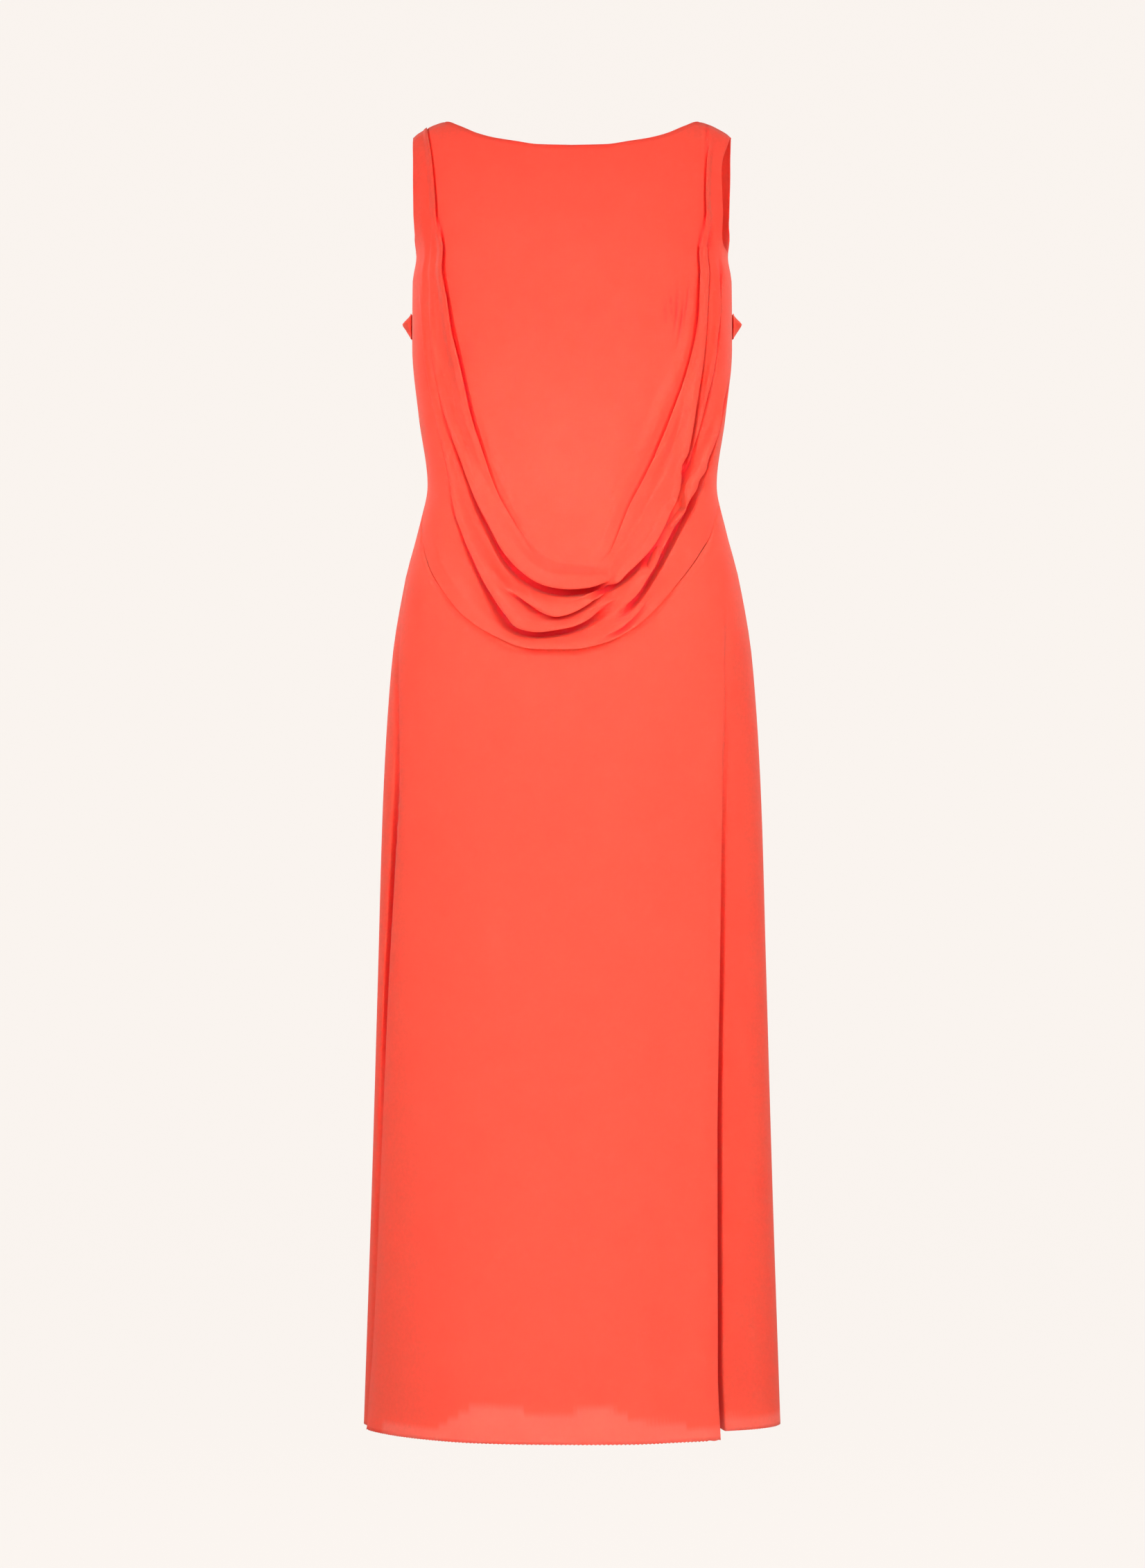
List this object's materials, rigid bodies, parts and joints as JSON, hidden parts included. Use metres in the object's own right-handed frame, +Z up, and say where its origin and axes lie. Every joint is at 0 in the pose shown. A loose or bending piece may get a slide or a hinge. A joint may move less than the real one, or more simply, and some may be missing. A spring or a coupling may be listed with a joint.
{
  "type": "evening gown",
  "caption": "Full-length sleeveless evening gown with a boat neck, a deep draped front, an open back with a strap across it, and a straight lined skirt, worn open and hollow.",
  "frame": {"origin": "midway between the two shoulder seams, level with their highest points, where the wearer's shoulders hold the gown up", "axes": "+X along the shoulders, to the right of someone facing the gown's front; the front faces -Y; +Z up, along the gown's length"},
  "size_m": [0.4508, 0.3409, 1.4082],
  "materials": {
    "crepe_jersey": "coral-red crepe jersey, fine matte face with a soft sheen",
    "lining_jersey": "thin smooth jersey in the same red, matte"
  },
  "bodies": {
    "root": {"bodice_front": "crepe_jersey", "bodice_back": "crepe_jersey", "back_band": "crepe_jersey", "skirt_front": "crepe_jersey", "skirt_back": "crepe_jersey", "skirt_lining": "lining_jersey"}
  },
  "joints": []
}
